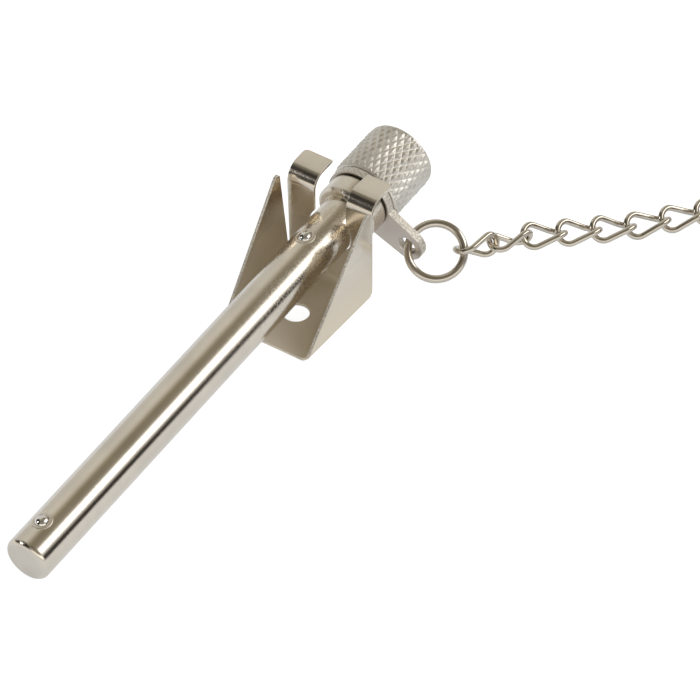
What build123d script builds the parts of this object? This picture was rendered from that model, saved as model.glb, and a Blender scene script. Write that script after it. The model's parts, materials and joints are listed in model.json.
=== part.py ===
from build123d import *
from math import asin, atan2, cos, degrees, hypot, radians, sin, sqrt, tan
import os

# Window lock pin: a plain steel pin with two spring-loaded balls, held in a folded clip bracket, with a
# loose tab, a jump ring and a twisted-link chain. Millimetres and degrees.
#
# Frame: the origin is the centre of the bracket's screw hole, on the underside of its base. +Z is up, away
# from the surface that the bracket is screwed to. The pin points along -Y and its knob along +Y, and +X is
# the side that the chain leaves on. The base and the pin's tip both rest at z = 0, so the pin lies a few
# degrees nose down in the loose clip.

# Bracket, folded from one sheet.
SHEET = 0.5
BEND_INSIDE = 1.2
BASE_HALF_WIDTH = 8.4
SCREW_HOLE = 4.5
HOLE_TO_WALL = 9.9
HOLE_TO_FRONT = 8.55
BASE_CORNER = 1.6
GUSSET_FLARE = 2.0
GUSSET_HEIGHT = 20.2
GUSSET_TOP_SETBACK = 1.6
GUSSET_TOP_LENGTH = 1.1
GUSSET_FRONT_HEIGHT = 1.25
GUSSET_TIP_RADIUS = 0.6
CORNER_SLIT = 0.12
RELIEF_MARGIN = 0.1
RELIEF_DEPTH = 0.6
WALL_SETBACK = 0.4
FINGER_SETBACK = {"left": -0.05, "right": 0.35}
FINGER_TOP = 20.4
CURL_INSIDE = 2.5
CURL_REACH = {"left": 5.5, "right": 6.4}
CURL_RISE = {"left": 4.0, "right": -3.0}
CURL_CORNER = 0.8
CLIP_GRIP = 0.82

# Pin: stations are measured along its axis from the front face of the bracket's wall, positive towards
# the knob.
PIN_RADIUS = 3.969
PIN_AXIS_HEIGHT = 10.85
CLIP_CLEARANCE = 0.22
CLIP_SEAT_GAP = 0.06
TIP_END = -83.0
TIP_ROUNDING = 0.9
COLLAR_FRONT = 4.3
COLLAR_RADIUS = 5.45
COLLAR_CHAMFER = 0.5
COLLAR_LENGTH = 3.7
SPIGOT_RADIUS = 2.6
TAB_PLAY = 0.3
TAB_THICKNESS = 1.5
KNOB_PLAY = 0.15
KNOB_RADIUS = 6.35
KNOB_LAND_STEP = 0.35
KNOB_LAND_LENGTH = 0.4
KNOB_LENGTH = 10.95
KNOB_END_CHAMFER = 0.35
KNOB_FLOOR = 1.95
BLIND_GAP = 0.3

# Detent balls, each on a coil spring in a drilled pocket with a staked lip.
BALL_STATIONS = {"tip": -77.5, "clip": -6.05}
BALL_ANGLE = -9.0
BALL_RADIUS = 1.25
BALL_PROTRUSION = 0.65
BALL_CLEARANCE = 0.05
LIP_CLEARANCE = 0.04
LIP_DEPTH = 0.45
POCKET_FLOOR = -1.6
STAKE_LIP = 0.17
STAKE_WIDTH = 0.24
STAKE_DEPTH = 0.12
SPRING_WIRE = 0.3
SPRING_CLEARANCE = 0.25
SPRING_TURNS = 5

# Tab, turned to the chain's side, and the jump ring through its hole.
TAB_BORE_CLEARANCE = 0.05
TAB_DISC_RADIUS = 5.9
TAB_ROOT_HALF_WIDTH = 3.75
TAB_ROOT_SHIFT = 0.6
TAB_DROOP = 32.0
TAB_HOLE_REACH = 10.8
TAB_RIM = 1.45
TAB_HOLE_CHAMFER = 0.2
RING_RADIUS = 4.65
RING_WIRE = 1.4
RING_PLAY = 0.8
RING_FACING = -55.5
RING_LEAN = 51.0
RING_HOLE_ANGLE = 162.2
RING_CHAIN_ANGLE = 4.0
RING_JOINT_ANGLE = 143.0
RING_JOINT_GAP = 0.1
END_RING_JOINT_ANGLE = 60.0

# Chain: every link is a flat loop of round wire twisted a quarter turn, so its two ends cross at right
# angles.
LINK_COUNT = 18
LINK_WIRE = 1.05
LINK_LENGTH = 7.25
LINK_HALF_WIDTH = 2.7
LINK_BEND_SHARE = 0.98
LINK_GAP = 0.12
DROP_LINKS = 5
CHAIN_HEADING = 50.0
LEAD_TURN = 8.0
LEAD_ROLLS = [-65.0, -32.0]
CURVE_START = 9
CURVE_STEP = -5.0
TAIL_ROLLS = [-10.0, -20.0]
TAIL_RISE = 3.1
END_RING_DIP = 8.0
END_RING_GAP = 0.475
END_RING_SHIFT = 0.4

# Cutting tools reach this far past what they cut, and edges are found to this closeness.
BEYOND = 40.0
NEAR = 0.01

ORIGIN = Vector(0, 0, 0)
X = Vector(1, 0, 0)
SIDES = {"left": -1, "right": 1}


def pin_tilt():
    """Nose-down angle at which the rounded tip touches the resting surface."""
    along = -(TIP_END + TIP_ROUNDING)
    across = PIN_RADIUS - TIP_ROUNDING
    drop = PIN_AXIS_HEIGHT - TIP_ROUNDING
    return asin(drop / hypot(along, across)) - atan2(across, along)


TILT = pin_tilt()
TAB_FRONT = COLLAR_FRONT + COLLAR_LENGTH + TAB_PLAY
TAB_HOLE_RADIUS = RING_WIRE / 2 + RING_PLAY
KNOB_FRONT = TAB_FRONT + TAB_THICKNESS + KNOB_PLAY
KNOB_END = KNOB_FRONT + KNOB_LENGTH
BORE_END = KNOB_END - KNOB_FLOOR
PIN_AXIS = Vector(0, cos(TILT), sin(TILT))
PIN_FRAME = Plane(origin=(0, HOLE_TO_WALL, PIN_AXIS_HEIGHT), x_dir=X, z_dir=PIN_AXIS)


def direction(heading, rise=0.0):
    """Unit vector from its heading about +Z, counted from +X, and its rise above the horizontal."""
    flat = cos(radians(rise))
    return Vector(flat * cos(radians(heading)), flat * sin(radians(heading)), sin(radians(rise)))


# ---------------------------------------------------------------- bracket


def folded_band(points, radii):
    """Outline of a folded strip, one sheet thick on the left of a line with rounded corners."""
    return make_face(offset(FilletPolyline(*points, radius=radii), amount=SHEET, side=Side.LEFT))


def base_and_gussets():
    """Base plate with both sides folded up, cut to the triangular outline of the gussets."""
    height = GUSSET_HEIGHT + SHEET
    half = [(BASE_HALF_WIDTH, 0), (BASE_HALF_WIDTH + height * tan(radians(GUSSET_FLARE)), height)]
    line = [(-x, z) for x, z in reversed(half)] + half
    rear = HOLE_TO_WALL - CORNER_SLIT
    band = Plane.XZ.offset(-rear) * folded_band(line, BEND_INSIDE + SHEET)
    channel = extrude(band, amount=rear + HOLE_TO_FRONT)
    apex_rear = rear - GUSSET_TOP_SETBACK
    outline = Polyline(
        (-HOLE_TO_FRONT, 0),
        (rear, 0),
        (rear, SHEET),
        (apex_rear, GUSSET_HEIGHT),
        (apex_rear - GUSSET_TOP_LENGTH, GUSSET_HEIGHT),
        (-HOLE_TO_FRONT, GUSSET_FRONT_HEIGHT),
        close=True,
    )
    side = make_face(outline)
    tips = side.vertices().filter_by(lambda v: v.Y > GUSSET_HEIGHT - NEAR)
    side = fillet(tips, GUSSET_TIP_RADIUS)
    return channel & extrude(Plane.YZ * side, amount=2 * BASE_HALF_WIDTH, both=True)


def finger_half(side):
    """One half of the wall, from the base fold up to a finger whose top is curled over towards the knob."""
    rear = HOLE_TO_WALL + SHEET
    inner_top = FINGER_TOP - SHEET
    reach = HOLE_TO_WALL + CURL_REACH[side] - rear
    line = [
        (0, 0),
        (rear, 0),
        (rear, inner_top),
        (rear + reach, inner_top + reach * tan(radians(CURL_RISE[side]))),
    ]
    band = folded_band(line, [BEND_INSIDE + SHEET, CURL_INSIDE])
    strip = extrude(Plane.YZ * band, amount=SIDES[side] * (BASE_HALF_WIDTH - FINGER_SETBACK[side]))
    corners = strip.faces().sort_by(Axis.Y)[-1].edges().filter_by(lambda e: e.length < 2 * SHEET)
    return fillet(corners, CURL_CORNER)


def wall_outline():
    """The wall seen from the front, each side running straight from the base to its finger."""
    low = BASE_HALF_WIDTH - WALL_SETBACK
    top = 2 * FINGER_TOP
    outline = []
    for side, way in (("right", 1), ("left", -1)):
        spread = (WALL_SETBACK - FINGER_SETBACK[side]) * top / FINGER_TOP
        ends = [(way * low, 0), (way * (low + spread), top)]
        outline += ends[::way]
    return extrude(Plane.XZ * make_face(Polyline(*outline, close=True)), amount=BEYOND, both=True)


def bracket():
    """Base with a screw hole, two gussets, and a wall open at the top to grip the pin between fingers."""
    body = base_and_gussets()
    wall = (finger_half("left") + finger_half("right")) & wall_outline()
    mouth_centre = PIN_AXIS_HEIGHT + CLIP_CLEARANCE - CLIP_SEAT_GAP
    mouth = Cylinder(PIN_RADIUS + CLIP_CLEARANCE, 4 * SHEET)
    wall -= Pos(0, HOLE_TO_WALL, mouth_centre) * Rot(90, 0, 0) * mouth
    neck = Box(2 * (PIN_RADIUS - CLIP_GRIP), BEYOND, 2 * FINGER_TOP)
    wall -= Pos(0, HOLE_TO_WALL, mouth_centre + FINGER_TOP) * neck
    bend_height = BEND_INSIDE + SHEET
    relief_width = bend_height + RELIEF_MARGIN + SHEET
    relief_centre = BASE_HALF_WIDTH + SHEET - relief_width / 2
    for x in (-relief_centre, relief_centre):
        wall -= Pos(x, 0, 0) * Box(relief_width, BEYOND, 2 * bend_height)
        body -= Pos(x, HOLE_TO_WALL, 0) * Box(relief_width, 2 * RELIEF_DEPTH, 2 * bend_height)
    body += wall
    for x in (-1, 1):
        centre = (x * (BASE_HALF_WIDTH - BASE_CORNER), BASE_CORNER - HOLE_TO_FRONT, 0)
        corner = Pos(x * BASE_CORNER, -BASE_CORNER, 0) * Box(2 * BASE_CORNER, 2 * BASE_CORNER, 4 * SHEET)
        body -= Pos(*centre) * (corner - Cylinder(BASE_CORNER, 4 * SHEET))
    return body - Cylinder(SCREW_HOLE / 2, 4 * SHEET)


# ---------------------------------------------------------------- pin, knob, balls and springs


def turned(points):
    """Solid turned about the pin's axis from (radius, station) points."""
    profile = make_face(Plane.XZ * Polyline(*points, close=True))
    return revolve(profile, Axis.Z)


def pocket_frame(station):
    """Frame on the pin's axis at a ball's station, +Z pointing out through the ball."""
    out = (sin(radians(BALL_ANGLE)), -cos(radians(BALL_ANGLE)), 0)
    return Plane(origin=(0, 0, station), x_dir=(0, 0, 1), z_dir=out)


def ball_height():
    """Height of a ball's centre over the pin's axis, with the ball out against its lip."""
    return PIN_RADIUS + BALL_PROTRUSION - BALL_RADIUS


def ball_pocket():
    """Drilled pocket whose staked lip closes in under the ball's diameter, with the stake's groove."""
    bore = BALL_RADIUS + BALL_CLEARANCE
    above_centre = PIN_RADIUS - ball_height()
    lip = sqrt(BALL_RADIUS**2 - above_centre**2) + LIP_CLEARANCE
    lip_start = PIN_RADIUS - LIP_DEPTH
    slope = (bore - lip) / LIP_DEPTH
    top = PIN_RADIUS + LIP_DEPTH
    outline = [(0, POCKET_FLOOR), (bore, POCKET_FLOOR), (bore, lip_start), (lip, PIN_RADIUS)]
    outline += [(lip - slope * LIP_DEPTH / 3, top), (0, top)]
    pocket = turned(outline)
    stake = BALL_RADIUS + STAKE_LIP
    groove = Cylinder(stake + STAKE_WIDTH, PIN_RADIUS) - Cylinder(stake, PIN_RADIUS)
    shell = Rot(90, 0, 0) * Cylinder(PIN_RADIUS - STAKE_DEPTH, 2 * PIN_RADIUS)
    return pocket, Pos(0, 0, PIN_RADIUS) * groove - Rot(0, 0, 90) * shell


def pin():
    """Shank, collar and spigot in one, with the two ball pockets drilled into the shank."""
    end = COLLAR_FRONT + COLLAR_LENGTH
    outline = [
        (0, TIP_END),
        (PIN_RADIUS, TIP_END),
        (PIN_RADIUS, COLLAR_FRONT),
        (COLLAR_RADIUS - COLLAR_CHAMFER, COLLAR_FRONT),
        (COLLAR_RADIUS, COLLAR_FRONT + COLLAR_CHAMFER),
        (COLLAR_RADIUS, end),
        (SPIGOT_RADIUS, end),
        (SPIGOT_RADIUS, BORE_END - BLIND_GAP),
        (0, BORE_END - BLIND_GAP),
    ]
    body = turned(outline)
    tip = body.edges().filter_by(lambda e: abs(e.center().Z - TIP_END) < NEAR)
    body = fillet(tip, TIP_ROUNDING)
    pocket, groove = ball_pocket()
    for station in BALL_STATIONS.values():
        body -= pocket_frame(station) * pocket
        body -= pocket_frame(station) * groove
    return PIN_FRAME * body


def knob():
    """Knob pressed on the spigot: a plain land in front, then the full diameter of the knurl's crests."""
    land_end = KNOB_FRONT + KNOB_LAND_LENGTH
    outline = [
        (SPIGOT_RADIUS, KNOB_FRONT),
        (KNOB_RADIUS - KNOB_LAND_STEP, KNOB_FRONT),
        (KNOB_RADIUS - KNOB_LAND_STEP, land_end),
        (KNOB_RADIUS, land_end + KNOB_LAND_STEP),
        (KNOB_RADIUS, KNOB_END - KNOB_END_CHAMFER),
        (KNOB_RADIUS - KNOB_END_CHAMFER, KNOB_END),
        (0, KNOB_END),
        (0, BORE_END),
        (SPIGOT_RADIUS, BORE_END),
    ]
    return PIN_FRAME * turned(outline)


def ball(station):
    return PIN_FRAME * (pocket_frame(station) * (Pos(0, 0, ball_height()) * Sphere(BALL_RADIUS)))


def spring(station):
    """Coil spring from the pocket's floor up to the ball."""
    radius = BALL_RADIUS + BALL_CLEARANCE - SPRING_CLEARANCE - SPRING_WIRE / 2
    contact_drop = sqrt(BALL_RADIUS**2 - radius**2) + SPRING_WIRE / 2
    height = ball_height() - contact_drop - POCKET_FLOOR - SPRING_WIRE
    coil = Helix(pitch=height / SPRING_TURNS, height=height, radius=radius)
    wire = sweep(Plane(origin=coil @ 0, z_dir=coil % 0) * Circle(SPRING_WIRE / 2), path=coil)
    return PIN_FRAME * (pocket_frame(station) * (Pos(0, 0, POCKET_FLOOR + SPRING_WIRE / 2) * wire))


# ---------------------------------------------------------------- tab and ring


def tab_hole_centre():
    """Middle of the tab's hole, in the bracket's frame."""
    mid = PIN_FRAME.origin + PIN_AXIS * (TAB_FRONT + TAB_THICKNESS / 2)
    across = X * cos(radians(TAB_DROOP)) + PIN_FRAME.y_dir * sin(radians(TAB_DROOP))
    return mid + across * TAB_HOLE_REACH


def tab():
    """Plate that turns on the spigot between collar and knob, drawn out to a round end with a hole."""
    root = Pos(0, TAB_ROOT_SHIFT) * Circle(TAB_ROOT_HALF_WIDTH)
    end = Pos(TAB_HOLE_REACH, 0) * Circle(TAB_HOLE_RADIUS + TAB_RIM)
    arm = make_hull((root + end).edges())
    outline = Circle(TAB_DISC_RADIUS) + arm - Circle(SPIGOT_RADIUS + TAB_BORE_CLEARANCE)
    outline -= Pos(TAB_HOLE_REACH, 0) * Circle(TAB_HOLE_RADIUS)
    plate = extrude(outline, amount=TAB_THICKNESS)
    rims = plate.edges().filter_by(GeomType.CIRCLE)
    rims = rims.filter_by(lambda e: abs(e.radius - TAB_HOLE_RADIUS) < NEAR)
    plate = chamfer(rims, TAB_HOLE_CHAMFER)
    return PIN_FRAME * (Pos(0, 0, TAB_FRONT) * (Rot(0, 0, TAB_DROOP) * plate))


def ring_plane():
    """Plane of the jump ring, its x axis level and pointing to the chain's side."""
    normal = direction(RING_FACING, RING_LEAN)
    level = direction(RING_FACING + 90)
    around = radians(RING_HOLE_ANGLE)
    to_hole = level * cos(around) + normal.cross(level) * sin(around)
    return Plane(origin=tab_hole_centre() - to_hole * RING_RADIUS, x_dir=level, z_dir=normal)


def open_ring(joint_angle):
    """Jump ring of round wire, closed but for the hairline where its ends meet."""
    gap = degrees(RING_JOINT_GAP / RING_RADIUS)
    section = Plane.XZ * (Pos(RING_RADIUS, 0) * Circle(RING_WIRE / 2))
    return Rot(0, 0, joint_angle + gap / 2) * revolve(section, Axis.Z, 360 - gap)


def jump_ring():
    return ring_plane() * open_ring(RING_JOINT_ANGLE)


# ---------------------------------------------------------------- chain


def link():
    """Twisted link along +X from its start bar, at the origin, to its end bar, a quarter turn round."""
    start = Vector(0, cos(radians(45)), sin(radians(45))) * LINK_HALF_WIDTH
    end = Vector(0, start.Y, -start.Z)
    along = Vector(LINK_LENGTH, 0, 0)
    corners = [start, ORIGIN - start, along - end, along + end]
    leg = hypot(LINK_LENGTH, LINK_HALF_WIDTH * sqrt(2))
    half_corner = 0.5 * radians(90 - degrees(asin(LINK_HALF_WIDTH / leg)))
    bend = LINK_BEND_SHARE * LINK_HALF_WIDTH * tan(half_corner)
    loop = FilletPolyline(*corners, radius=bend, close=True).edges()
    pieces = Part()
    for edge in loop:
        pieces += sweep(Plane(origin=edge @ 0, z_dir=edge % 0) * Circle(LINK_WIRE / 2), path=edge)
    return pieces


def link_frames(flat_height):
    """One frame per link: origin on its start bar, x along the link, z up but for its roll."""
    ring = ring_plane()
    around = radians(RING_CHAIN_ANGLE)
    contact = ring.origin + (ring.x_dir * cos(around) + ring.y_dir * sin(around)) * RING_RADIUS
    reach = (RING_WIRE + LINK_WIRE) / 2 + LINK_GAP
    pitch = LINK_LENGTH - LINK_WIRE - LINK_GAP
    drop = degrees(asin((contact.Z - flat_height) / (DROP_LINKS * pitch)))
    rolls = LEAD_ROLLS + [0.0] * (LINK_COUNT - len(LEAD_ROLLS) - len(TAIL_ROLLS)) + TAIL_ROLLS
    frames = []
    for number, roll in enumerate(rolls):
        heading = CHAIN_HEADING + CURVE_STEP * max(0, number - CURVE_START)
        rise = 0.0
        if number < len(LEAD_ROLLS):
            heading += LEAD_TURN
        if number < DROP_LINKS:
            rise = -drop
        if number >= LINK_COUNT - len(TAIL_ROLLS):
            rise = TAIL_RISE
        along = direction(heading, rise)
        frame = Plane(origin=contact - along * reach, x_dir=along, z_dir=direction(heading, rise + 90))
        frames.append(Plane(frame.location * Rot(roll, 0, 0)))
        contact = frame.origin + along * LINK_LENGTH
        reach = LINK_WIRE + LINK_GAP
    return frames


def end_ring_plane(last_link):
    """Plane of the ring on the chain's far end, its far side lying on the surface."""
    heading = CHAIN_HEADING + CURVE_STEP * (LINK_COUNT - 1 - CURVE_START)
    outward = direction(heading, -END_RING_DIP)
    reach = (RING_WIRE + LINK_WIRE) / 2 + END_RING_GAP
    grip = last_link.origin + last_link.x_dir * (LINK_LENGTH - reach)
    grip = grip + direction(heading + 90) * END_RING_SHIFT
    centre = Vector(grip.X, grip.Y, 0) + outward * RING_RADIUS
    height = RING_WIRE / 2 + RING_RADIUS * sin(radians(END_RING_DIP))
    upright = direction(heading, 90 - END_RING_DIP)
    return Plane(origin=(centre.X, centre.Y, height), x_dir=outward, z_dir=upright)


# ---------------------------------------------------------------- files


def nodes():
    """Every piece by its node name."""
    makers = {"bracket": bracket, "pin": pin, "knob": knob, "chain_tab": tab, "jump_ring": jump_ring}
    pieces = {name: make() for name, make in makers.items()}
    for place, station in BALL_STATIONS.items():
        pieces[f"{place}_ball"] = ball(station)
        pieces[f"{place}_ball_spring"] = spring(station)
    shape = link()
    frames = link_frames(shape.bounding_box().size.Z / 2)
    for number, frame in enumerate(frames, start=1):
        pieces[f"chain_link_{number:02d}"] = frame * shape
    pieces["end_ring"] = end_ring_plane(frames[-1]) * open_ring(END_RING_JOINT_ANGLE)
    return pieces


os.makedirs("parts", exist_ok=True)
for name, piece in nodes().items():
    export_step(piece, f"parts/{name}.step")
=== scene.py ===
import json
import math

import bpy
from mathutils import Matrix, Vector


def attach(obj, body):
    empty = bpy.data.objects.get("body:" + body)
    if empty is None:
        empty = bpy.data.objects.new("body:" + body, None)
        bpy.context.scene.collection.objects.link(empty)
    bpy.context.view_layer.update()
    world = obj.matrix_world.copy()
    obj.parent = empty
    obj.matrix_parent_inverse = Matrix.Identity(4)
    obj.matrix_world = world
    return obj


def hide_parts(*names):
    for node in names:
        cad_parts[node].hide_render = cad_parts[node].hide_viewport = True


MM = 0.001

# Camera: the point that it looks at, its direction and roll in degrees, its distance, its near and far
# ends in metres, and its sensor and lens in millimetres.
VIEW_CENTRE = Vector((18.672, -11.769, 10.88)) * MM
VIEW_AZIMUTH = 34.4
VIEW_ELEVATION = 42.9
VIEW_ROLL = -0.3
VIEW_DISTANCE = 744.77 * MM
CLIP_START = 0.01
CLIP_END = 20
SENSOR_WIDTH = 36
LENS = 241.7

# Knob: a plain land in front, then the knurl, then a chamfer at the free end.
KNOB_LAND = 0.3 * MM
KNOB_LAND_STEP = 0.3 * MM
KNOB_LAND_CHAMFER = 0.08 * MM
KNOB_CHAMFER = 0.35 * MM
KNOB_CHAMFER_LENGTH = 0.12 * MM
KNOB_CHAMFER_SHARE = 0.75
KNOB_END_STEP = 0.1 * MM
KNOB_BORE_SHARE = 0.82

# Knurl: the number of grooves each way, their angle to the axis in degrees, the share of a pitch that
# stays flat, how the grooves run out near the free end, and the slope at which the knurl rises from the
# land.
KNURL_STARTS = 30
KNURL_ANGLE = 29.0
KNURL_FLAT = 0.12
KNURL_DEPTH = 0.30 * MM
KNURL_RUN_OUT = 0.5 * MM
KNURL_RUN_OUT_SHARE = 0.45
KNURL_RUN_IN_SLOPE = 1.5
KNURL_STEPS_AROUND = 480
KNURL_STEPS_ALONG = 130

# Staked lip round each ball: a low half-round bead on the shank, sunk a little into it.
SHANK_RADIUS = 3.969 * MM
STAKE_RADIUS = 1.53 * MM
STAKE_HALF_WIDTH = 0.30 * MM
STAKE_RISE = 0.10 * MM
STAKE_SUNK_SHARE = 0.15
STAKE_STEPS_AROUND = 64
STAKE_STEPS_ACROSS = 10

# Carried-over nodes: how far sharp edges are rounded, the angle in degrees below which faces blend, and
# how near to each other vertices are joined.
EDGE_ROUNDING = 0.06 * MM
PIN_ROUNDING = 0.05 * MM
BLEND_BELOW = 35
JOIN_DISTANCE = 0.002 * MM

# Floor: where it ends in front and on the other sides, its drop below the bracket, and the glow that it
# adds for the eye and for mirroring metal.
FLOOR_FRONT = -0.12
FLOOR_REACH = 3
FLOOR_DROP = 0.02 * MM
FLOOR_COLOUR = (0.8, 0.79, 0.78)
GLOW_SEEN = 0.80
GLOW_SEEN_COLOUR = (0.975, 1.0, 1.03)
GLOW_IN_METAL = 0.42
GLOW_IN_METAL_COLOUR = (0.86, 0.96, 1.12)

# Lamps: direction from the object, width and length in metres, and radiance.
LAMPS = {
    "side_box": ((0.573, 0.604, 0.554), (0.37, 0.9), 1.8),
    "front_box": ((-0.62, -0.62, 0.48), (0.20, 0.20), 6.0),
}
LAMP_DISTANCE = 0.9
LAMP_AIM = Vector((0, 0, 0.01))

# Metal colours.
NICKEL = (0.76, 0.69, 0.585)
TAB_NICKEL = (0.60, 0.54, 0.475)
WIRE_NICKEL = (0.64, 0.58, 0.49)
SATIN = (0.79, 0.75, 0.68)
BALL_STEEL = (0.80, 0.77, 0.72)
SPRING_STEEL = (0.45, 0.44, 0.43)

# Noise patterns: cells in a metre, and detail.
CLOUDS = (180, 4)
WAVES = (700, 2)
GRAIN = (2600, 3)
WEAR_PATCHES = (1500, 3)
SCUFFS = (3000, 4)
SPECKLE = (3500, 4)

# Clouds in the plate: their noise from dull to bright, and their roughness as shares of the metal's own.
CLOUD_SPAN = (0.3, 0.7)
CLOUD_ROUGHNESS = (1.25, 0.85)

# Worn edges: how far a rounded edge's normal has turned, as 1 less the cosine, where wear starts and
# where it is full, and the patches that the wear comes in.
WORN = (0.86, 0.82, 0.75)
WORN_ROUGHNESS = 0.45
WEAR_SPAN = (0.02, 0.16)
WEAR_STOPS = [(0.3, 0.6), (0.6, 1.0)]
BEVEL_SAMPLES = 4

# Sheared rims: speckled between two colours. The spans say how far a surface has turned from the sheet's
# face, where a rim starts and where it is full. A gusset's rim lies past a side distance that grows with
# its flare in degrees, and above the base's bend.
SHEARED_STOPS = [(0.35, (0.52, 0.48, 0.41)), (0.65, (0.95, 0.90, 0.82))]
SHEARED_ROUGHNESS = 0.6
TAB_RIM_SPAN = (0.5, 0.8)
GUSSET_RIM_SPAN = (0.4, 0.7)
GUSSET_RIM_FROM = 7.86 * MM
GUSSET_RIM_ABOVE = 1.6 * MM
GUSSET_FLARE = 2.0

# Painted fill light low in the bracket's fold: there the plate turns matte, less metallic and a pale warm
# tint that stands in for light reaching its shaded inside. The spans are shares of a height.
FOLD_HEIGHT = 20 * MM
FOLD_SPAN = (0.06, 0.75)
FOLD_ROUGH_SPAN = (0.35, 0.7)
FOLD_METALLIC = 0.15
# Pale warm tint painted low in the bracket as fill light on its shaded inside.
FOLD_FILL_TINT = (0.90, 0.82, 0.68)
FOLD_ROUGHNESS = 0.5

# Shank that is rubbed towards the clip, its span as shares of a length that ends there, and its scuffs.
RUBBED_LENGTH = 60 * MM
RUBBED_SPAN = (0.2, 0.85)
RUBBED_ROUGHNESS = 0.28
SCUFF_STOPS = [(0.4, 0.25), (0.58, 1.0)]


# ---------------------------------------------------------------- meshes


def add_mesh(name, points, faces):
    """New mesh object in the scene."""
    mesh = bpy.data.meshes.new(name)
    mesh.from_pydata(points, [], faces)
    mesh.update()
    obj = bpy.data.objects.new(name, mesh)
    bpy.context.scene.collection.objects.link(obj)
    return obj


def quads(rows, columns, closed=False):
    """Faces that join rows of points, each row a loop, and the last row to the first where closed."""
    faces = []
    for row in range(rows if closed else rows - 1):
        a, b = row * columns, (row + 1) % rows * columns
        for i in range(columns):
            j = (i + 1) % columns
            faces.append((a + i, a + j, b + j, b + i))
    return faces


def paint(obj, material):
    obj.data.materials.clear()
    obj.data.materials.append(material)


# ---------------------------------------------------------------- camera, lights and floor


def view_axes():
    """The camera's right, up and back directions."""
    azimuth, elevation, roll = (math.radians(v) for v in (VIEW_AZIMUTH, VIEW_ELEVATION, VIEW_ROLL))
    flat = math.cos(elevation)
    back = Vector((math.sin(azimuth) * flat, -math.cos(azimuth) * flat, math.sin(elevation)))
    right = Vector((math.cos(azimuth), math.sin(azimuth), 0))
    up = back.cross(right)
    return (
        right * math.cos(roll) + up * math.sin(roll),
        up * math.cos(roll) - right * math.sin(roll),
        back,
    )


def make_camera():
    data = bpy.data.cameras.new("camera")
    data.lens = LENS
    data.sensor_width = SENSOR_WIDTH
    data.clip_start = CLIP_START
    data.clip_end = CLIP_END
    camera = bpy.data.objects.new("camera", data)
    bpy.context.scene.collection.objects.link(camera)
    right, up, back = view_axes()
    turn = Matrix((right, up, back)).transposed().to_4x4()
    camera.matrix_world = Matrix.Translation(VIEW_CENTRE + back * VIEW_DISTANCE) @ turn
    bpy.context.scene.camera = camera


class Nodes:
    """Short way to build a node tree."""

    def __init__(self, tree):
        self.tree = tree
        tree.nodes.clear()

    def add(self, kind, **settings):
        node = self.tree.nodes.new(kind)
        for name, value in settings.items():
            setattr(node, name, value)
        return node

    def link(self, source, target):
        self.tree.links.new(source, target)

    def xyz(self, vector):
        """The three parts of a vector."""
        node = self.add("ShaderNodeSeparateXYZ")
        self.link(vector, node.inputs[0])
        return node.outputs

    def surface(self, shader, kind="ShaderNodeOutputMaterial"):
        out = self.add(kind)
        self.link(shader.outputs[0], out.inputs["Surface"])

    def math(self, operation, a, b=None):
        node = self.add("ShaderNodeMath", operation=operation)
        for socket, value in zip(node.inputs, (a, b)):
            if isinstance(value, (int, float)):
                socket.default_value = value
            elif value is not None:
                self.link(value, socket)
        return node.outputs[0]

    def ramp(self, source, stops):
        """Colour or grey value between stops, each a place from 0 to 1 with its value."""
        node = self.add("ShaderNodeValToRGB")
        ramp = node.color_ramp
        while len(ramp.elements) < len(stops):
            ramp.elements.new(0.5)
        for element, (place, value) in zip(ramp.elements, stops):
            element.position = place
            colour = value if isinstance(value, tuple) else (value, value, value)
            element.color = (*colour, 1)
        self.link(source, node.inputs[0])
        return node.outputs[0]

    def rise(self, source, start, end):
        """0 up to the start, and 1 from the end on."""
        return self.ramp(source, [(start, 0.0), (end, 1.0)])

    def fall(self, source, start, end):
        """1 up to the start, and 0 from the end on."""
        return self.ramp(source, [(start, 1.0), (end, 0.0)])

    def mix(self, share, first, second):
        node = self.add("ShaderNodeMix", data_type="RGBA")
        self.link(share, node.inputs[0])
        for socket, value in zip((node.inputs[6], node.inputs[7]), (first, second)):
            if isinstance(value, tuple):
                socket.default_value = (*value, 1)
            else:
                self.link(value, socket)
        return node.outputs[2]


# Room light behind the object by its angle round the pin's axis, from straight down (0) over the chain's
# side (0.25), the top (0.5) and the other side (0.75), as (place, colour).
ROOM = [
    (0.000, (0.75, 0.78, 0.82)),
    (0.244, (0.80, 0.82, 0.84)),
    (0.252, (0.06, 0.055, 0.05)),
    (0.302, (0.06, 0.055, 0.05)),
    (0.322, (0.80, 0.80, 0.80)),
    (0.412, (0.80, 0.80, 0.80)),
    (0.432, (0.35, 0.33, 0.28)),
    (0.460, (0.28, 0.255, 0.20)),
    (0.505, (0.275, 0.245, 0.18)),
    (0.530, (0.36, 0.33, 0.26)),
    (0.560, (0.58, 0.56, 0.50)),
    (0.580, (0.68, 0.66, 0.61)),
    (0.600, (0.72, 0.71, 0.67)),
    (0.680, (0.66, 0.66, 0.64)),
    (1.000, (0.75, 0.78, 0.82)),
]

# Room light in front by its height, from straight down (0) over the horizon (0.5) to straight up (1): a
# bright strip under a dark hood, and on the chain's side an open room with a higher and brighter strip.
HOOD = [
    (0.00, (0.44, 0.43, 0.40)),
    (0.43, (0.50, 0.48, 0.44)),
    (0.47, (1.05, 1.02, 0.96)),
    (0.54, (1.05, 1.02, 0.96)),
    (0.58, (0.03, 0.028, 0.024)),
    (0.91, (0.03, 0.028, 0.024)),
    (0.96, (0.32, 0.30, 0.25)),
    (1.00, (0.36, 0.34, 0.28)),
]
OPEN = [
    (0.00, (0.72, 0.72, 0.72)),
    (0.54, (0.72, 0.71, 0.70)),
    (0.58, (1.50, 1.47, 1.40)),
    (0.68, (1.50, 1.47, 1.40)),
    (0.73, (0.34, 0.33, 0.30)),
    (0.88, (0.30, 0.28, 0.24)),
    (1.00, (0.14, 0.13, 0.10)),
]
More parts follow.
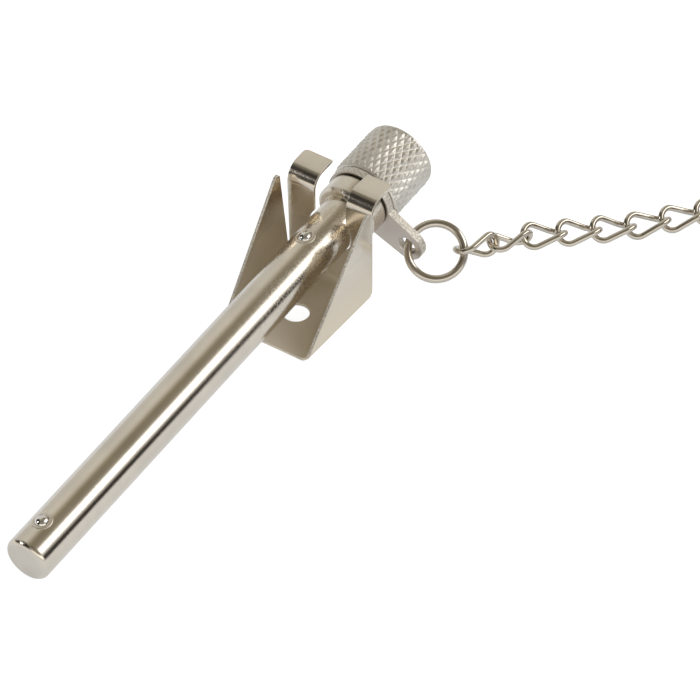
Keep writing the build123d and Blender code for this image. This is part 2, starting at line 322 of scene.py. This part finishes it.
# Where one light gives way to the next: hood to open room by X + 0.5, and front to behind by Y.
HOOD_EDGE = (0.30, 0.62)
FRONT_EDGE = (-0.34, -0.20)


def make_world():
    """Studio room that metal mirrors: pale walls at both sides, a dim ceiling, and a dark hood in front."""
    world = bpy.data.worlds.new("studio")
    bpy.context.scene.world = world
    world.use_nodes = True
    n = Nodes(world.node_tree)
    coords = n.add("ShaderNodeTexCoord")
    x, y, z = n.xyz(coords.outputs["Generated"])
    angle = n.math("ARCTAN2", x, n.math("MULTIPLY", z, -1.0))
    turn = n.math("FRACT", n.math("DIVIDE", angle, 2 * math.pi))
    behind = n.ramp(turn, ROOM)
    height = n.math("MULTIPLY", n.math("ADD", z, 1.0), 0.5)
    aside = n.rise(n.math("ADD", x, 0.5), *HOOD_EDGE)
    front = n.mix(aside, n.ramp(height, HOOD), n.ramp(height, OPEN))
    colour = n.mix(n.rise(y, *FRONT_EDGE), front, behind)
    room = n.add("ShaderNodeBackground")
    n.link(colour, room.inputs["Color"])
    white = n.add("ShaderNodeBackground")
    white.inputs["Color"].default_value = (1, 1, 1, 1)
    path = n.add("ShaderNodeLightPath")
    mix = n.add("ShaderNodeMixShader")
    n.link(path.outputs["Is Camera Ray"], mix.inputs[0])
    n.link(room.outputs[0], mix.inputs[1])
    n.link(white.outputs[0], mix.inputs[2])
    n.surface(mix, "ShaderNodeOutputWorld")


def make_lamps():
    """Rectangular area lights that face the object, with their length along the pin."""
    for name, (away, size, radiance) in LAMPS.items():
        away = Vector(away).normalized()
        data = bpy.data.lights.new(name, "AREA")
        data.shape = "RECTANGLE"
        data.size, data.size_y = size
        data.energy = radiance * math.pi * size[0] * size[1]
        light = bpy.data.objects.new(name, data)
        bpy.context.scene.collection.objects.link(light)
        side = Vector((0, 1, 0)).cross(away).normalized()
        turn = Matrix((side, away.cross(side), away)).transposed().to_4x4()
        light.matrix_world = Matrix.Translation(away * LAMP_DISTANCE + LAMP_AIM) @ turn


def make_floor():
    """Pale table top that keeps the object's shadow and shows as white. It ends a hand's width in front."""
    far = FLOOR_REACH
    corners = [(-far, FLOOR_FRONT, 0), (far, FLOOR_FRONT, 0), (far, far, 0), (-far, far, 0)]
    floor = add_mesh("floor", corners, [(0, 1, 2, 3)])
    floor.location.z = -FLOOR_DROP
    material = bpy.data.materials.new("floor")
    material.use_nodes = True
    n = Nodes(material.node_tree)
    matt = n.add("ShaderNodeBsdfDiffuse")
    matt.inputs["Color"].default_value = (*FLOOR_COLOUR, 1)
    glow = n.add("ShaderNodeEmission")
    path = n.add("ShaderNodeLightPath")
    tint = n.mix(path.outputs["Is Glossy Ray"], GLOW_SEEN_COLOUR, GLOW_IN_METAL_COLOUR)
    n.link(tint, glow.inputs["Color"])
    seen = n.math("MAXIMUM", path.outputs["Is Camera Ray"], path.outputs["Is Transmission Ray"])
    mirrored = n.math("MULTIPLY", path.outputs["Is Glossy Ray"], GLOW_IN_METAL)
    n.link(n.math("ADD", n.math("MULTIPLY", seen, GLOW_SEEN), mirrored), glow.inputs["Strength"])
    both = n.add("ShaderNodeAddShader")
    n.link(matt.outputs[0], both.inputs[0])
    n.link(glow.outputs[0], both.inputs[1])
    n.surface(both)
    paint(floor, material)


# ---------------------------------------------------------------- materials


def noise(n, where, pattern):
    node = n.add("ShaderNodeTexNoise")
    scale, detail = pattern
    node.inputs["Scale"].default_value = scale
    node.inputs["Detail"].default_value = detail
    n.link(where, node.inputs["Vector"])
    return node.outputs["Fac"]


def bump(n, height, distance, below=None):
    node = n.add("ShaderNodeBump")
    node.inputs["Strength"].default_value = 1
    node.inputs["Distance"].default_value = distance
    n.link(height, node.inputs["Height"])
    if below is not None:
        n.link(below, node.inputs["Normal"])
    return node.outputs[0]


def rounded(n, radius):
    """Normal of a surface whose edges are rounded."""
    node = n.add("ShaderNodeBevel", samples=BEVEL_SAMPLES)
    node.inputs["Radius"].default_value = radius
    return node.outputs[0]


def edge_share(n, radius):
    """How close a point is to a sharp edge, from 0 to 1."""
    bevel = rounded(n, radius)
    flat = n.add("ShaderNodeNewGeometry")
    turn = n.add("ShaderNodeVectorMath", operation="DOT_PRODUCT")
    n.link(bevel, turn.inputs[0])
    n.link(flat.outputs["Normal"], turn.inputs[1])
    return n.rise(n.math("SUBTRACT", 1.0, turn.outputs["Value"]), *WEAR_SPAN)


def across(n, vector, axis):
    """How far a direction lies across an axis, from 0 along it to 1 at a right angle."""
    dot = n.add("ShaderNodeVectorMath", operation="DOT_PRODUCT")
    n.link(vector, dot.inputs[0])
    dot.inputs[1].default_value = axis
    return n.math("SUBTRACT", 1.0, n.math("ABSOLUTE", dot.outputs["Value"]))


def joint(name):
    """One of the frame's joints, by its name."""
    return next(j for j in frame["joints"] if j["name"] == name)


def flat_colour(value):
    """One number as a grey colour."""
    return (value,) * 3


def plated(name, roughness, grain, peel, tint=NICKEL, dulling=0.1, wear=0.0, rounding=0.0, zones=()):
    """Nickel plate: uneven bright metal with fine grain, the soft waviness of plating, and worn edges.

    Grain and peel are bump heights, wear is the width of the worn edges, and rounding is how far the shading
    rounds an edge. Each zone is a function that changes the colour, the roughness and the metal share over an
    area of its own.
    """
    material = bpy.data.materials.new(name)
    material.use_nodes = True
    n = Nodes(material.node_tree)
    coords = n.add("ShaderNodeTexCoord")
    where = coords.outputs["Object"]
    cloud = noise(n, where, CLOUDS)
    dull, bright = CLOUD_SPAN
    duller, brighter = CLOUD_ROUGHNESS
    colour = n.ramp(cloud, [(dull, tuple(c * (1 - dulling) for c in tint)), (bright, tint)])
    rough = n.ramp(cloud, [(dull, roughness * duller), (bright, roughness * brighter)])
    metallic = None
    for zone in zones:
        colour, rough, metallic = zone(n, coords, colour, rough, metallic)
    if wear:
        patches = n.ramp(noise(n, where, WEAR_PATCHES), WEAR_STOPS)
        edge = n.math("MULTIPLY", edge_share(n, wear), patches)
        colour = n.mix(edge, colour, WORN)
        rough = n.mix(edge, rough, flat_colour(WORN_ROUGHNESS))
    smooth = rounded(n, rounding) if rounding else None
    waves = bump(n, noise(n, where, WAVES), peel, smooth)
    metal = n.add("ShaderNodeBsdfPrincipled")
    metal.inputs["Metallic"].default_value = 1
    if metallic is not None:
        n.link(metallic, metal.inputs["Metallic"])
    n.link(colour, metal.inputs["Base Color"])
    n.link(rough, metal.inputs["Roughness"])
    n.link(bump(n, noise(n, where, GRAIN), grain, waves), metal.inputs["Normal"])
    n.surface(metal)
    return material


def fold_painted_fill(n, coords, colour, rough, metallic):
    """Zone: painted fill light at the bracket's base, where the plate turns matte, less metallic and pale
    warm; it turns back to shiny metal with height.
    """
    height = n.math("DIVIDE", n.xyz(coords.outputs["Object"])["Z"], FOLD_HEIGHT)
    rough = n.mix(n.fall(height, *FOLD_ROUGH_SPAN), rough, flat_colour(FOLD_ROUGHNESS))
    # Painted fill light: the pale warm tint low in the bracket.
    colour = n.mix(n.fall(height, *FOLD_SPAN), colour, FOLD_FILL_TINT)
    base, top = FOLD_SPAN
    return colour, rough, n.ramp(height, [(base, FOLD_METALLIC), (top, 1.0)])


def rubbed(n, coords, colour, rough, metallic):
    """Zone: the shank where the clip rubs it, speckled with fine scuffs."""
    where = coords.outputs["Object"]
    place = n.math("DIVIDE", n.math("ADD", n.xyz(where)["Y"], RUBBED_LENGTH), RUBBED_LENGTH)
    scuffs = n.ramp(noise(n, where, SCUFFS), SCUFF_STOPS)
    share = n.math("MULTIPLY", n.rise(place, *RUBBED_SPAN), scuffs)
    return colour, n.mix(share, rough, flat_colour(RUBBED_ROUGHNESS)), metallic


def sheared(rim):
    """Zone: the speckled steel of a sheared rim."""

    def zone(n, coords, colour, rough, metallic):
        cut = rim(n, coords)
        speckle = noise(n, coords.outputs["Object"], SPECKLE)
        colour = n.mix(cut, colour, n.ramp(speckle, SHEARED_STOPS))
        return colour, n.mix(cut, rough, flat_colour(SHEARED_ROUGHNESS)), metallic

    return zone


def tab_rim(n, coords):
    """The tab's sheared rim: all that faces across its swivel."""
    return n.rise(across(n, coords.outputs["Normal"], joint("tab_swivel")["axis"]), *TAB_RIM_SPAN)


def gusset_rim(n, coords):
    """The gussets' sheared rims: what lies as far out as a gusset and doesn't face sideways."""
    x, _, z = n.xyz(coords.outputs["Object"])
    flare = n.math("MULTIPLY", z, math.tan(math.radians(GUSSET_FLARE)))
    out = n.math("GREATER_THAN", n.math("SUBTRACT", n.math("ABSOLUTE", x), flare), GUSSET_RIM_FROM)
    up = n.math("GREATER_THAN", z, GUSSET_RIM_ABOVE)
    rim = n.rise(across(n, coords.outputs["Normal"], (1, 0, 0)), *GUSSET_RIM_SPAN)
    return n.math("MULTIPLY", n.math("MULTIPLY", out, up), rim)


# ---------------------------------------------------------------- knob


def knob_frame():
    """The knob's place, with Z along the pin from its front, and its length, radius and bore radius."""
    along = Vector(joint("pin_slide")["axis"]).normalized()
    start = Vector(joint("tab_swivel")["pos_m"])
    offsets = [v.co - start for v in frame["nodes"]["knob"].data.vertices]
    stations = [offset.dot(along) for offset in offsets]
    radii = [(offset - along * station).length for offset, station in zip(offsets, stations)]
    side = Vector((1, 0, 0))
    up = along.cross(side)
    turn = Matrix((side, up, along)).transposed().to_4x4()
    place = Matrix.Translation(start + along * min(stations)) @ turn
    bore = min(r for r in radii if r > MM)
    return place, max(stations) - min(stations), max(radii), bore


def knurl_depth(angle, station, radius):
    """Depth of a diamond knurl's blunt pyramids, from 0 on a crest to 1 in a groove."""
    pitch = 2 * math.pi * radius / KNURL_STARTS
    turns = KNURL_STARTS * angle / (2 * math.pi)
    lead = station * math.tan(math.radians(KNURL_ANGLE)) / pitch
    groove = max(abs(2 * ((turns + way * lead) % 1) - 1) for way in (-1, 1))
    return max(0.0, (groove - KNURL_FLAT) / (1 - KNURL_FLAT))


def knurled_radius(angle, station, radius, end):
    """Radius on the knurled stretch: it rises from the land, and its grooves run out before the chamfer."""
    fade = min(1.0, (end - station) / KNURL_RUN_OUT)
    depth = knurl_depth(angle, station, radius)
    knurled = radius - KNURL_DEPTH * (depth * fade + (1 - fade) * KNURL_RUN_OUT_SHARE)
    rising = radius - KNOB_LAND_STEP + (station - KNOB_LAND) * KNURL_RUN_IN_SLOPE
    return min(knurled, rising)


def knob_rings(length, radius, bore):
    """Stations along the knob, each with its radius, or None where it is knurled."""
    land = radius - KNOB_LAND_STEP
    end = length - KNOB_CHAMFER
    steps = range(KNURL_STEPS_ALONG + 1)
    return [
        (0.0, bore),
        (0.0, land - KNOB_LAND_CHAMFER),
        (KNOB_LAND_CHAMFER, land),
        (KNOB_LAND, land),
        *((KNOB_LAND + (end - KNOB_LAND) * i / KNURL_STEPS_ALONG, None) for i in steps),
        (length - KNOB_CHAMFER_LENGTH, radius - KNOB_CHAMFER * KNOB_CHAMFER_SHARE),
        (length, radius - KNOB_CHAMFER - KNOB_END_STEP),
    ]


def make_knob():
    """Knob with a plain land, a diamond knurl whose grooves run out at both ends, and a blind bore."""
    place, length, radius, bore = knob_frame()
    end = length - KNOB_CHAMFER
    count = KNURL_STEPS_AROUND
    angles = [2 * math.pi * i / count for i in range(count)]
    rings = knob_rings(length, radius, bore)
    points = []
    for station, plain_radius in rings:
        for angle in angles:
            r = knurled_radius(angle, station, radius, end) if plain_radius is None else plain_radius
            points.append(place @ Vector((r * math.cos(angle), r * math.sin(angle), station)))
    faces = quads(len(rings), count)
    last = (len(rings) - 1) * count
    faces.append([last + i for i in range(count)])
    inner = len(points)
    floor = length * KNOB_BORE_SHARE
    points += [place @ Vector((bore * math.cos(a), bore * math.sin(a), floor)) for a in angles]
    for i in range(count):
        j = (i + 1) % count
        faces.append((i, inner + i, inner + j, j))
    faces.append([inner + i for i in reversed(range(count))])
    knob = add_mesh("knurled_knob", points, faces)
    for polygon in knob.data.polygons:
        polygon.use_smooth = len(polygon.vertices) == 4
    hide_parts("knob")
    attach(knob, "pin")
    metal = plated("knurled_nickel", roughness=0.42, grain=0.016 * MM, peel=0.0, tint=SATIN, dulling=0.12)
    paint(knob, metal)


def lip_points(foot, along, out):
    """Points across a half-round lip, row by row round the ball, wrapped on the shank's curved surface."""
    sideways = along.cross(out)
    points = []
    for i in range(STAKE_STEPS_AROUND):
        a = 2 * math.pi * i / STAKE_STEPS_AROUND
        for k in range(STAKE_STEPS_ACROSS):
            t = math.pi * k / (STAKE_STEPS_ACROSS - 1)
            reach = STAKE_RADIUS + STAKE_HALF_WIDTH * math.cos(t)
            rise = SHANK_RADIUS + STAKE_RISE * (math.sin(t) - STAKE_SUNK_SHARE)
            turn = reach * math.sin(a) / SHANK_RADIUS
            radial = out * math.cos(turn) + sideways * math.sin(turn)
            points.append(foot + radial * rise + along * (reach * math.cos(a)))
    return points


def make_stakes():
    """Raised lip that holds each ball in its pocket."""
    metal = plated("staked_lip", roughness=0.30, grain=0.001 * MM, peel=0.002 * MM)
    along = Vector(joint("pin_slide")["axis"]).normalized()
    start = Vector(joint("tab_swivel")["pos_m"])
    faces = quads(STAKE_STEPS_AROUND, STAKE_STEPS_ACROSS, closed=True)
    for name in ("tip_ball", "clip_ball"):
        out = -Vector(joint(name + "_travel")["axis"]).normalized()
        corners = frame["nodes"][name].data.vertices
        centre = sum((v.co for v in corners), Vector()) / len(corners)
        foot = start + along * (centre - start).dot(along)
        lip = add_mesh(name + "_lip", lip_points(foot, along, out), faces)
        for polygon in lip.data.polygons:
            polygon.use_smooth = True
        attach(lip, "pin")
        paint(lip, metal)


# ---------------------------------------------------------------- carried-over nodes


def smooth_by_angle(limit):
    """Geometry nodes that join split vertices and shade smooth below an angle."""
    group = bpy.data.node_groups.new("join_and_smooth", "GeometryNodeTree")
    group.interface.new_socket("Geometry", in_out="INPUT", socket_type="NodeSocketGeometry")
    group.interface.new_socket("Geometry", in_out="OUTPUT", socket_type="NodeSocketGeometry")
    n = Nodes(group)
    source = n.add("NodeGroupInput")
    target = n.add("NodeGroupOutput")
    merge = n.add("GeometryNodeMergeByDistance")
    merge.inputs["Distance"].default_value = JOIN_DISTANCE
    n.link(source.outputs[0], merge.inputs["Geometry"])
    angle = n.add("GeometryNodeInputMeshEdgeAngle")
    sharp = n.add("FunctionNodeCompare", data_type="FLOAT", operation="LESS_EQUAL")
    n.link(angle.outputs["Unsigned Angle"], sharp.inputs[0])
    sharp.inputs[1].default_value = math.radians(limit)
    faces = n.add("GeometryNodeSetShadeSmooth", domain="FACE")
    n.link(merge.outputs[0], faces.inputs["Geometry"])
    edges = n.add("GeometryNodeSetShadeSmooth", domain="EDGE")
    n.link(faces.outputs[0], edges.inputs["Geometry"])
    n.link(sharp.outputs[0], edges.inputs["Shade Smooth"])
    n.link(edges.outputs[0], target.inputs[0])
    return group


def soften(node, group, rounding):
    """Joins the node's faces for shading, and rounds its sharp edges by a hair."""
    join = node.modifiers.new("join", "NODES")
    join.node_group = group
    if rounding:
        bevel = node.modifiers.new("edges", "BEVEL")
        bevel.width = rounding
        bevel.segments = 2
        bevel.limit_method = "ANGLE"
        bevel.angle_limit = math.radians(BLEND_BELOW)
        bevel.harden_normals = True


def dress_nodes():
    """Gives every node of the CAD model its metal and its soft edges."""
    group = smooth_by_angle(BLEND_BELOW)
    sheet = plated(
        "nickel_sheet",
        roughness=0.15,
        grain=0.0006 * MM,
        peel=0.004 * MM,
        wear=0.2 * MM,
        rounding=0.22 * MM,
        # The fold zone paints fill light low in the bracket.
        zones=(fold_painted_fill, sheared(gusset_rim)),
    )
    turned = plated(
        "nickel_turned",
        roughness=0.09,
        grain=0.0022 * MM,
        peel=0.006 * MM,
        wear=0.2 * MM,
        rounding=0.45 * MM,
        zones=(rubbed,),
    )
    tab = plated(
        "nickel_tab",
        roughness=0.34,
        grain=0.004 * MM,
        peel=0.003 * MM,
        tint=TAB_NICKEL,
        zones=(sheared(tab_rim),),
    )
    wire = plated(
        "nickel_wire",
        roughness=0.14,
        grain=0.0006 * MM,
        peel=0.003 * MM,
        tint=WIRE_NICKEL,
        wear=0.1 * MM,
    )
    ball = plated("polished_ball", roughness=0.06, grain=0.0, peel=0.0, tint=BALL_STEEL, dulling=0.02)
    spring = plated("spring_wire", roughness=0.35, grain=0.001 * MM, peel=0.0, tint=SPRING_STEEL)
    for name, node in frame["nodes"].items():
        material, rounding = wire, 0.0
        if name == "bracket":
            material, rounding = sheet, EDGE_ROUNDING
        elif name == "pin":
            material, rounding = turned, PIN_ROUNDING
        elif name == "chain_tab":
            material, rounding = tab, EDGE_ROUNDING
        elif name.endswith("_ball"):
            material = ball
        elif name.endswith("spring"):
            material = spring
        paint(node, material)
        if name != "knob":
            soften(node, group, rounding)


# ---------------------------------------------------------------- scene


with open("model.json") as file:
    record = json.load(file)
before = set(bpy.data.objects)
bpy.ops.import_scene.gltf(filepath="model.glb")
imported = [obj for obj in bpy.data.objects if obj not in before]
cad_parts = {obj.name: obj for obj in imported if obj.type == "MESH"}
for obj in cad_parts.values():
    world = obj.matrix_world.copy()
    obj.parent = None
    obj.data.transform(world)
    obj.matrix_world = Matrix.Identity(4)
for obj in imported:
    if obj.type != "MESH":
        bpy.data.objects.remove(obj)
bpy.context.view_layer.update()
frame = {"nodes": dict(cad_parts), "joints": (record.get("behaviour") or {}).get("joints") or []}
bpy.context.scene.view_settings.view_transform = "Standard"
make_camera()
make_world()
make_lamps()
make_floor()
dress_nodes()
make_knob()
make_stakes()
